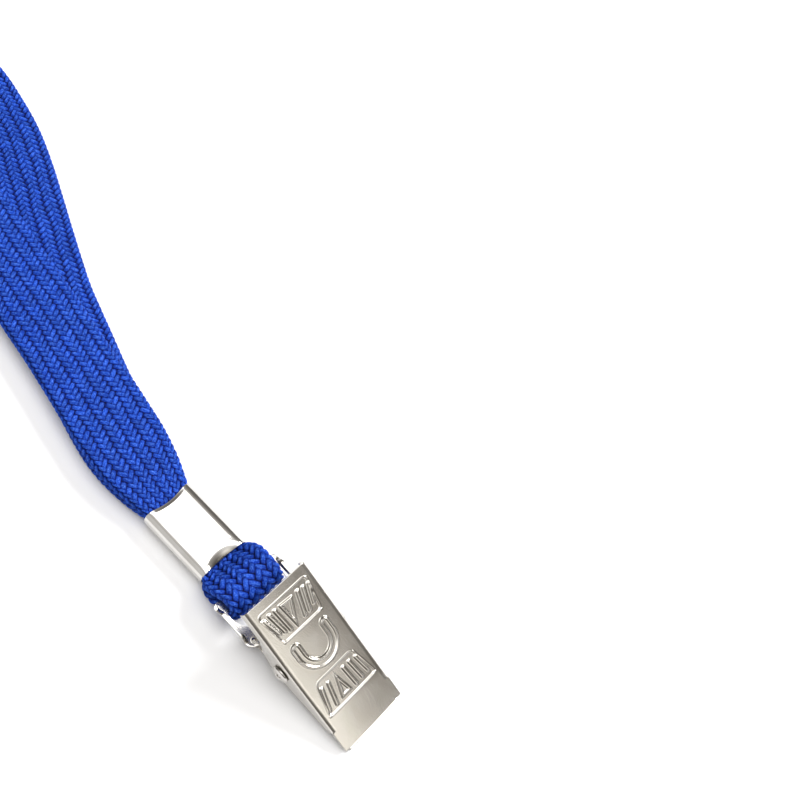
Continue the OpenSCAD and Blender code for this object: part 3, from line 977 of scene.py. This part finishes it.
def upper_lever():
    """The lever with the thumb grip: low flanges at its tail, ears round the pin, and a flat tip."""
    tail_depth = 2
    ear_start = PIN_S - 2.6
    ear_depth = PIN_D + 2.6
    step = 0.7             # the flange drops by this much where the ear starts
    flange_end = 25.2
    end_depth = (UPPER_LEN - flange_end) * math.sin(LEVER_ANGLE) + 0.9
    s = rows_between(UPPER_LEN, 0.1, [flange_end - 0.05, flange_end + 0.05])
    tail = swing(s, 4.6, ear_start, tail_depth, ear_depth - step)
    ear = np.interp(s, [ear_start, PIN_S - 1.6, PIN_S + 1.8, flange_end],
                    [ear_depth - step, ear_depth, ear_depth - 0.1, end_depth])
    depth = np.where(s < ear_start, tail, np.where(s > flange_end, SHEET_T, ear))

    def bowed_tip(along, y):
        return 0.12 * smooth((along - 0.78 * UPPER_LEN) / 6)

    half, slot = np.full(len(s), UPPER_W / 2), np.zeros(len(s))
    made = channel("pressed_upper_lever", s, half, depth, slot, upper_emboss, bowed_tip, UPPER_FRAME,
                   downwards=True, frost_from=0.79 * UPPER_LEN)
    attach(made, "upper_jaw")
    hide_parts("upper_lever")


def rounded(r, past):
    """How far a round corner draws an edge in, at a distance past the place where the corner starts."""
    past = np.clip(past, 0, r)
    return r - np.sqrt(r ** 2 - past ** 2)


def lower_lever():
    """The lever on the strap, with a slot behind its tail bar, a ribbed waist, ears and a jaw lip."""
    corner_r = 0.8
    tail_depth = 1.7
    slot_from, slot_to, slot_half = 2.5, 7.7, 6
    near_r, far_r = 0.5, 4
    ramp_from, ramp_to = 11.6, 21.5
    pin_u, pin_h = PIN_IN_CLIP
    ear_r, shoulder = 2.2, math.radians(35)
    u = rows_between(LOWER_LEN, 0.15, [slot_from, slot_to, ramp_from, ramp_to])
    half = swing(u, 8.6, 10.6, TAIL_W / 2, LOWER_W / 2) - rounded(corner_r, corner_r - u)
    tail = np.minimum(swing(u, 0.8, 2.4, SHEET_T, tail_depth), swing(u, 6.8, 8.6, tail_depth, SHEET_T))
    drop = pin_h + ear_r * math.sin(shoulder)
    reach = ear_r * math.cos(shoulder)
    arc = pin_h + np.sqrt(np.clip(ear_r ** 2 - (u - pin_u) ** 2, 0, None))
    ramps = np.interp(u, [ramp_from, pin_u - reach, pin_u + reach, ramp_to], [SHEET_T, drop, drop, SHEET_T])
    ears = np.where(np.abs(u - pin_u) < reach, arc, ramps)
    depth = np.maximum(np.maximum(tail, ears), SHEET_T)
    near_corner = rounded(near_r, slot_from + near_r - u)
    far_corner = rounded(far_r, u - (slot_to - far_r))
    slot = slot_half - np.maximum(near_corner, far_corner)
    slot = np.where((u >= slot_from) & (u <= slot_to), slot, 0)

    def waist_ribs(s, y):
        lift = np.zeros_like(s)
        for place, turn_in in ((4.1, 0.1), (5.2, 0.5)):
            distance, k = to_segment(s, np.abs(y), (8.9, place + turn_in), (11.4, place - turn_in))
            lift -= pressed(distance - 0.3 - 0.16 * k, 0.4, 0.2)
        return lift + 0.015 * np.sin(s / 5 + 2) * np.cos(y / 4)

    def jaw_lip(along, y):
        return 0.12 * smooth((along - LOWER_LEN + 1.3) / 0.5) * (np.abs(y) < LOWER_W / 2 - 0.3)

    made = channel("pressed_lower_lever", u, half, depth, slot, waist_ribs, jaw_lip, CLIP_FRAME,
                   downwards=False, frost_from=LOWER_LEN)
    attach(made, "lower_jaw")
    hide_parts("lower_lever")


upper_lever()
lower_lever()


# ---- Pin and spring ----

def pivot_pin():
    """A hollow-ended rivet with rolled heads, turned round its own axis."""
    sides = 48
    head_y = UPPER_W / 2 + 0.06
    head = ((HEAD_R - 0.15, 0), (HEAD_R, 0.15), (HEAD_R - 0.12, 0.42), (1.15, 0.68), (0.85, 0.69),
            (0.62, 0.5), (0.52, 0.1), (0.3, 0), (0, 0))
    corners = [(PIN_R, 0), (PIN_R, head_y), *((r, head_y + rise) for r, rise in head)]
    half = resampled(corners, 0.05)
    half = np.vstack([half[:1], eased(half, 2)[1:-1], half[-1:]])
    half[:, 0] = np.clip(half[:, 0], 0, None)
    profile = np.vstack([half[:0:-1] * (1, -1), half])
    r, along = profile[:, :1], profile[:, 1:]
    turn = np.linspace(0, 2 * math.pi, sides, endpoint=False)
    dented = 1 + 0.012 * np.sin(5 * turn + 0.7)
    rings = np.stack([pin_at[0] + r * np.cos(turn) * dented,
                      pin_at[1] + along * np.ones(sides),
                      pin_at[2] + r * np.sin(turn) * dented], -1)
    grid = np.arange(len(profile) * sides).reshape(-1, sides)
    made = tidied(make_object("peened_pivot_pin", rings.reshape(-1, 3), [ring_quads(grid)], PIN_NICKEL))
    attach(made, "lower_jaw")
    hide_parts("pivot_pin")


def torsion_spring():
    """Wire coiled round the pin, one leg on the lower lever's tail and the other under the upper lever's."""
    low_u, high_u = 9, 8.6
    k = np.linspace(0, 1, 220)
    turn = -math.pi / 2 + (2 * math.pi * COIL_TURNS - math.pi) * k
    coil = np.column_stack([PIN_IN_CLIP[0] + COIL_R * np.cos(turn),
                            -COIL_LEN / 2 + COIL_LEN * k,
                            PIN_IN_CLIP[1] + COIL_R * np.sin(turn)])
    low_end = (low_u, -COIL_LEN / 2, SHEET_T + WIRE_D / 2 + 0.05)
    under_plate = TAIL_H - (high_u - TAIL_U) * math.tan(LEVER_ANGLE) - SHEET_T / math.cos(LEVER_ANGLE)
    high_end = (high_u, COIL_LEN / 2, under_plate - WIRE_D / 2 - 0.3)
    line = eased(resampled(np.vstack([low_end, coil, high_end]), 0.18), 2)
    made = tube("torsion_spring_wire", placed(line, CLIP_FRAME), WIRE_D / 2, SPRING_STEEL)
    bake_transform(made)
    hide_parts("torsion_spring")


pivot_pin()
torsion_spring()


# ---- Floor and light ----

def make_floor():
    """A wide plane just under the model."""
    bpy.ops.mesh.primitive_plane_add(size=40, location=(0, 0, -0.1 * MM))
    floor = bpy.context.object
    floor.name = "floor"
    floor.data.materials.append(floor_material())


def softbox(name, place, size, power):
    """A rectangular light that faces the lanyard."""
    aim = Vector((-0.03, 0.02, 0))
    light = bpy.data.lights.new(name, "AREA")
    light.shape = "RECTANGLE"
    light.size, light.size_y = size
    light.energy = power
    lamp = bpy.data.objects.new(name, light)
    lamp.location = place
    lamp.rotation_euler = (aim - Vector(place)).to_track_quat("-Z", "Y").to_euler()
    bpy.context.scene.collection.objects.link(lamp)


def studio_sky():
    """A bright ceiling over a dim room, a soft window that the upper lever mirrors, and a lighter wall."""
    world = bpy.data.worlds.new("studio")
    bpy.context.scene.world = world
    world.use_nodes = True
    tree = world.node_tree
    direction = add(tree, "TexCoord", output="Generated")

    def towards(place):
        """1 in a direction, and less away from it."""
        return add(tree, "VectorMath", {0: direction, 1: place}, output=1, operation="DOT_PRODUCT")

    ceiling = ramp(tree, add(tree, "SeparateXYZ", {0: direction}, output=2),
                   [(0, (0.1, 0.095, 0.09)), (0.5, (0.1, 0.092, 0.086)), (0.76, (0.18, 0.17, 0.16)),
                    (0.87, (0.5, 0.49, 0.48)), (0.94, (0.92, 0.92, 0.92))])
    window = ramp(tree, towards((0.79, 0.02, 0.61)),
                  [(0.9, (0, 0, 0)), (0.94, (0.07, 0.068, 0.064)), (0.965, (0.25, 0.243, 0.23)),
                   (0.985, (0.7, 0.685, 0.645))])
    wall = ramp(tree, towards((-0.25, -0.93, 0.27)), [(0.75, (0, 0, 0)), (0.95, (0.3, 0.3, 0.3))])
    sky = add(tree, "VectorMath", {0: ceiling, 1: window}, operation="ADD")
    sky = add(tree, "VectorMath", {0: sky, 1: wall}, operation="ADD")
    background = tree.nodes["Background"]
    tree.links.new(sky, background.inputs["Color"])
    background.inputs["Strength"].default_value = 2


make_floor()
studio_sky()
softbox("overhead_softbox", place=(-0.05, 0.1, 0.9), size=(0.9, 0.7), power=2.9)
softbox("back_softbox", place=(0.15, 0.75, 0.6), size=(0.4, 0.3), power=9)
bpy.context.scene.view_settings.view_transform = "Standard"
